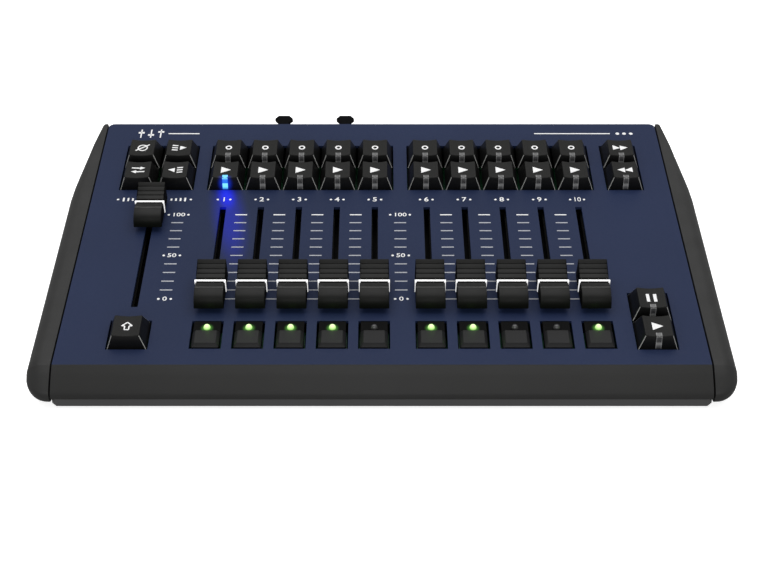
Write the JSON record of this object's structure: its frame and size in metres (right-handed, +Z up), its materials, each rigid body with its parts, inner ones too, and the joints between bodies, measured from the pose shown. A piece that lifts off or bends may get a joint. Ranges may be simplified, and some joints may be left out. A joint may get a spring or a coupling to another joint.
{
  "type": "lighting control desk",
  "caption": "Sloping stage-lighting control desk with a row of playback faders, a grand master, key caps, lamp-lit flash buttons, rounded end cheeks and rear line sockets.",
  "frame": {"origin": "centre of the overall footprint, on the surface that the rubber feet stand on", "axes": "+X to the operator's right along the desk, +Y to the rear where the sockets are, +Z up"},
  "size_m": [0.3184, 0.2138, 0.0477],
  "materials": {
    "panel_blue": "satin powder coat",
    "bezel_grey": "fine textured powder coat",
    "tray_grey": "fine textured powder coat",
    "cheek_grey": "spark-eroded moulded plastic",
    "key_grey": "satin moulded plastic",
    "flash_grey": "satin moulded plastic",
    "fader_grey": "satin moulded plastic",
    "socket_black": "black moulded plastic",
    "track_metal": "zinc plated",
    "board_green": "solder mask",
    "foot_rubber": "matte rubber"
  },
  "bodies": {
    "desk": {"top_panel": "panel_blue", "front_bezel": "bezel_grey", "base_tray": "tray_grey", "side_cheeks": "cheek_grey", "fader_tracks": "track_metal", "control_board": "board_green", "rear_sockets": "socket_black", "rubber_feet": "foot_rubber"},
    "select_key_1": {"select_key_1": "key_grey"},
    "play_key_1": {"play_key_1": "key_grey"},
    "select_key_2": {"select_key_2": "key_grey"},
    "play_key_2": {"play_key_2": "key_grey"},
    "select_key_3": {"select_key_3": "key_grey"},
    "play_key_3": {"play_key_3": "key_grey"},
    "select_key_4": {"select_key_4": "key_grey"},
    "play_key_4": {"play_key_4": "key_grey"},
    "select_key_5": {"select_key_5": "key_grey"},
    "play_key_5": {"play_key_5": "key_grey"},
    "select_key_6": {"select_key_6": "key_grey"},
    "play_key_6": {"play_key_6": "key_grey"},
    "select_key_7": {"select_key_7": "key_grey"},
    "play_key_7": {"play_key_7": "key_grey"},
    "select_key_8": {"select_key_8": "key_grey"},
    "play_key_8": {"play_key_8": "key_grey"},
    "select_key_9": {"select_key_9": "key_grey"},
    "play_key_9": {"play_key_9": "key_grey"},
    "select_key_10": {"select_key_10": "key_grey"},
    "play_key_10": {"play_key_10": "key_grey"},
    "menu_key_upper_left": {"menu_key_upper_left": "key_grey"},
    "menu_key_upper_right": {"menu_key_upper_right": "key_grey"},
    "menu_key_lower_left": {"menu_key_lower_left": "key_grey"},
    "menu_key_lower_right": {"menu_key_lower_right": "key_grey"},
    "forward_key": {"forward_key": "key_grey"},
    "back_key": {"back_key": "key_grey"},
    "pause_key": {"pause_key": "key_grey"},
    "run_key": {"run_key": "key_grey"},
    "shift_key": {"shift_key": "key_grey"},
    "flash_button_1": {"flash_button_1": "flash_grey"},
    "flash_button_2": {"flash_button_2": "flash_grey"},
    "flash_button_3": {"flash_button_3": "flash_grey"},
    "flash_button_4": {"flash_button_4": "flash_grey"},
    "flash_button_5": {"flash_button_5": "flash_grey"},
    "flash_button_6": {"flash_button_6": "flash_grey"},
    "flash_button_7": {"flash_button_7": "flash_grey"},
    "flash_button_8": {"flash_button_8": "flash_grey"},
    "flash_button_9": {"flash_button_9": "flash_grey"},
    "flash_button_10": {"flash_button_10": "flash_grey"},
    "fader_1": {"fader_1": "fader_grey"},
    "fader_2": {"fader_2": "fader_grey"},
    "fader_3": {"fader_3": "fader_grey"},
    "fader_4": {"fader_4": "fader_grey"},
    "fader_5": {"fader_5": "fader_grey"},
    "fader_6": {"fader_6": "fader_grey"},
    "fader_7": {"fader_7": "fader_grey"},
    "fader_8": {"fader_8": "fader_grey"},
    "fader_9": {"fader_9": "fader_grey"},
    "fader_10": {"fader_10": "fader_grey"},
    "grand_master_fader": {"grand_master_fader": "fader_grey"},
    "socket_latch_left": {"socket_latch_left": "socket_black"},
    "socket_latch_right": {"socket_latch_right": "socket_black"}
  },
  "joints": [
    {"name": "select_key_1_press", "type": "slide", "parent": "desk", "child": "select_key_1", "axis": [0, 0.1392, -0.9903], "range_m": [0, 0.0035], "stiffness_N_per_m": 150, "springref_m": -0.003},
    {"name": "play_key_1_press", "type": "slide", "parent": "desk", "child": "play_key_1", "axis": [0, 0.1392, -0.9903], "range_m": [0, 0.0035], "stiffness_N_per_m": 150, "springref_m": -0.003},
    {"name": "select_key_2_press", "type": "slide", "parent": "desk", "child": "select_key_2", "axis": [0, 0.1392, -0.9903], "range_m": [0, 0.0035], "stiffness_N_per_m": 150, "springref_m": -0.003},
    {"name": "play_key_2_press", "type": "slide", "parent": "desk", "child": "play_key_2", "axis": [0, 0.1392, -0.9903], "range_m": [0, 0.0035], "stiffness_N_per_m": 150, "springref_m": -0.003},
    {"name": "select_key_3_press", "type": "slide", "parent": "desk", "child": "select_key_3", "axis": [0, 0.1392, -0.9903], "range_m": [0, 0.0035], "stiffness_N_per_m": 150, "springref_m": -0.003},
    {"name": "play_key_3_press", "type": "slide", "parent": "desk", "child": "play_key_3", "axis": [0, 0.1392, -0.9903], "range_m": [0, 0.0035], "stiffness_N_per_m": 150, "springref_m": -0.003},
    {"name": "select_key_4_press", "type": "slide", "parent": "desk", "child": "select_key_4", "axis": [0, 0.1392, -0.9903], "range_m": [0, 0.0035], "stiffness_N_per_m": 150, "springref_m": -0.003},
    {"name": "play_key_4_press", "type": "slide", "parent": "desk", "child": "play_key_4", "axis": [0, 0.1392, -0.9903], "range_m": [0, 0.0035], "stiffness_N_per_m": 150, "springref_m": -0.003},
    {"name": "select_key_5_press", "type": "slide", "parent": "desk", "child": "select_key_5", "axis": [0, 0.1392, -0.9903], "range_m": [0, 0.0035], "stiffness_N_per_m": 150, "springref_m": -0.003},
    {"name": "play_key_5_press", "type": "slide", "parent": "desk", "child": "play_key_5", "axis": [0, 0.1392, -0.9903], "range_m": [0, 0.0035], "stiffness_N_per_m": 150, "springref_m": -0.003},
    {"name": "select_key_6_press", "type": "slide", "parent": "desk", "child": "select_key_6", "axis": [0, 0.1392, -0.9903], "range_m": [0, 0.0035], "stiffness_N_per_m": 150, "springref_m": -0.003},
    {"name": "play_key_6_press", "type": "slide", "parent": "desk", "child": "play_key_6", "axis": [0, 0.1392, -0.9903], "range_m": [0, 0.0035], "stiffness_N_per_m": 150, "springref_m": -0.003},
    {"name": "select_key_7_press", "type": "slide", "parent": "desk", "child": "select_key_7", "axis": [0, 0.1392, -0.9903], "range_m": [0, 0.0035], "stiffness_N_per_m": 150, "springref_m": -0.003},
    {"name": "play_key_7_press", "type": "slide", "parent": "desk", "child": "play_key_7", "axis": [0, 0.1392, -0.9903], "range_m": [0, 0.0035], "stiffness_N_per_m": 150, "springref_m": -0.003},
    {"name": "select_key_8_press", "type": "slide", "parent": "desk", "child": "select_key_8", "axis": [0, 0.1392, -0.9903], "range_m": [0, 0.0035], "stiffness_N_per_m": 150, "springref_m": -0.003},
    {"name": "play_key_8_press", "type": "slide", "parent": "desk", "child": "play_key_8", "axis": [0, 0.1392, -0.9903], "range_m": [0, 0.0035], "stiffness_N_per_m": 150, "springref_m": -0.003},
    {"name": "select_key_9_press", "type": "slide", "parent": "desk", "child": "select_key_9", "axis": [0, 0.1392, -0.9903], "range_m": [0, 0.0035], "stiffness_N_per_m": 150, "springref_m": -0.003},
    {"name": "play_key_9_press", "type": "slide", "parent": "desk", "child": "play_key_9", "axis": [0, 0.1392, -0.9903], "range_m": [0, 0.0035], "stiffness_N_per_m": 150, "springref_m": -0.003},
    {"name": "select_key_10_press", "type": "slide", "parent": "desk", "child": "select_key_10", "axis": [0, 0.1392, -0.9903], "range_m": [0, 0.0035], "stiffness_N_per_m": 150, "springref_m": -0.003},
    {"name": "play_key_10_press", "type": "slide", "parent": "desk", "child": "play_key_10", "axis": [0, 0.1392, -0.9903], "range_m": [0, 0.0035], "stiffness_N_per_m": 150, "springref_m": -0.003},
    {"name": "menu_key_upper_left_press", "type": "slide", "parent": "desk", "child": "menu_key_upper_left", "axis": [0, 0.1392, -0.9903], "range_m": [0, 0.0035], "stiffness_N_per_m": 150, "springref_m": -0.003},
    {"name": "menu_key_upper_right_press", "type": "slide", "parent": "desk", "child": "menu_key_upper_right", "axis": [0, 0.1392, -0.9903], "range_m": [0, 0.0035], "stiffness_N_per_m": 150, "springref_m": -0.003},
    {"name": "menu_key_lower_left_press", "type": "slide", "parent": "desk", "child": "menu_key_lower_left", "axis": [0, 0.1392, -0.9903], "range_m": [0, 0.0035], "stiffness_N_per_m": 150, "springref_m": -0.003},
    {"name": "menu_key_lower_right_press", "type": "slide", "parent": "desk", "child": "menu_key_lower_right", "axis": [0, 0.1392, -0.9903], "range_m": [0, 0.0035], "stiffness_N_per_m": 150, "springref_m": -0.003},
    {"name": "forward_key_press", "type": "slide", "parent": "desk", "child": "forward_key", "axis": [0, 0.1392, -0.9903], "range_m": [0, 0.0035], "stiffness_N_per_m": 150, "springref_m": -0.003},
    {"name": "back_key_press", "type": "slide", "parent": "desk", "child": "back_key", "axis": [0, 0.1392, -0.9903], "range_m": [0, 0.0035], "stiffness_N_per_m": 150, "springref_m": -0.003},
    {"name": "pause_key_press", "type": "slide", "parent": "desk", "child": "pause_key", "axis": [0, 0.1392, -0.9903], "range_m": [0, 0.0035], "stiffness_N_per_m": 150, "springref_m": -0.003},
    {"name": "run_key_press", "type": "slide", "parent": "desk", "child": "run_key", "axis": [0, 0.1392, -0.9903], "range_m": [0, 0.0035], "stiffness_N_per_m": 150, "springref_m": -0.003},
    {"name": "shift_key_press", "type": "slide", "parent": "desk", "child": "shift_key", "axis": [0, 0.1392, -0.9903], "range_m": [0, 0.0035], "stiffness_N_per_m": 150, "springref_m": -0.003},
    {"name": "flash_button_1_press", "type": "slide", "parent": "desk", "child": "flash_button_1", "axis": [0, 0.1392, -0.9903], "range_m": [0, 0.002], "stiffness_N_per_m": 200, "springref_m": -0.002},
    {"name": "flash_button_2_press", "type": "slide", "parent": "desk", "child": "flash_button_2", "axis": [0, 0.1392, -0.9903], "range_m": [0, 0.002], "stiffness_N_per_m": 200, "springref_m": -0.002},
    {"name": "flash_button_3_press", "type": "slide", "parent": "desk", "child": "flash_button_3", "axis": [0, 0.1392, -0.9903], "range_m": [0, 0.002], "stiffness_N_per_m": 200, "springref_m": -0.002},
    {"name": "flash_button_4_press", "type": "slide", "parent": "desk", "child": "flash_button_4", "axis": [0, 0.1392, -0.9903], "range_m": [0, 0.002], "stiffness_N_per_m": 200, "springref_m": -0.002},
    {"name": "flash_button_5_press", "type": "slide", "parent": "desk", "child": "flash_button_5", "axis": [0, 0.1392, -0.9903], "range_m": [0, 0.002], "stiffness_N_per_m": 200, "springref_m": -0.002},
    {"name": "flash_button_6_press", "type": "slide", "parent": "desk", "child": "flash_button_6", "axis": [0, 0.1392, -0.9903], "range_m": [0, 0.002], "stiffness_N_per_m": 200, "springref_m": -0.002},
    {"name": "flash_button_7_press", "type": "slide", "parent": "desk", "child": "flash_button_7", "axis": [0, 0.1392, -0.9903], "range_m": [0, 0.002], "stiffness_N_per_m": 200, "springref_m": -0.002},
    {"name": "flash_button_8_press", "type": "slide", "parent": "desk", "child": "flash_button_8", "axis": [0, 0.1392, -0.9903], "range_m": [0, 0.002], "stiffness_N_per_m": 200, "springref_m": -0.002},
    {"name": "flash_button_9_press", "type": "slide", "parent": "desk", "child": "flash_button_9", "axis": [0, 0.1392, -0.9903], "range_m": [0, 0.002], "stiffness_N_per_m": 200, "springref_m": -0.002},
    {"name": "flash_button_10_press", "type": "slide", "parent": "desk", "child": "flash_button_10", "axis": [0, 0.1392, -0.9903], "range_m": [0, 0.002], "stiffness_N_per_m": 200, "springref_m": -0.002},
    {"name": "fader_1_slide", "type": "slide", "parent": "desk", "child": "fader_1", "axis": [0, 0.9903, 0.1392], "range_m": [0, 0.06]},
    {"name": "fader_2_slide", "type": "slide", "parent": "desk", "child": "fader_2", "axis": [0, 0.9903, 0.1392], "range_m": [0, 0.06]},
    {"name": "fader_3_slide", "type": "slide", "parent": "desk", "child": "fader_3", "axis": [0, 0.9903, 0.1392], "range_m": [0, 0.06]},
    {"name": "fader_4_slide", "type": "slide", "parent": "desk", "child": "fader_4", "axis": [0, 0.9903, 0.1392], "range_m": [0, 0.06]},
    {"name": "fader_5_slide", "type": "slide", "parent": "desk", "child": "fader_5", "axis": [0, 0.9903, 0.1392], "range_m": [0, 0.06]},
    {"name": "fader_6_slide", "type": "slide", "parent": "desk", "child": "fader_6", "axis": [0, 0.9903, 0.1392], "range_m": [0, 0.06]},
    {"name": "fader_7_slide", "type": "slide", "parent": "desk", "child": "fader_7", "axis": [0, 0.9903, 0.1392], "range_m": [0, 0.06]},
    {"name": "fader_8_slide", "type": "slide", "parent": "desk", "child": "fader_8", "axis": [0, 0.9903, 0.1392], "range_m": [0, 0.06]},
    {"name": "fader_9_slide", "type": "slide", "parent": "desk", "child": "fader_9", "axis": [0, 0.9903, 0.1392], "range_m": [0, 0.06]},
    {"name": "fader_10_slide", "type": "slide", "parent": "desk", "child": "fader_10", "axis": [0, 0.9903, 0.1392], "range_m": [0, 0.06]},
    {"name": "grand_master_fader_slide", "type": "slide", "parent": "desk", "child": "grand_master_fader", "axis": [0, 0.9903, 0.1392], "range_m": [-0.06, 0]},
    {"name": "socket_latch_left_press", "type": "slide", "parent": "desk", "child": "socket_latch_left", "axis": [0, -0.891, -0.454], "range_m": [0, 0.002], "stiffness_N_per_m": 400, "springref_m": -0.002},
    {"name": "socket_latch_right_press", "type": "slide", "parent": "desk", "child": "socket_latch_right", "axis": [0, -0.891, -0.454], "range_m": [0, 0.002], "stiffness_N_per_m": 400, "springref_m": -0.002}
  ]
}
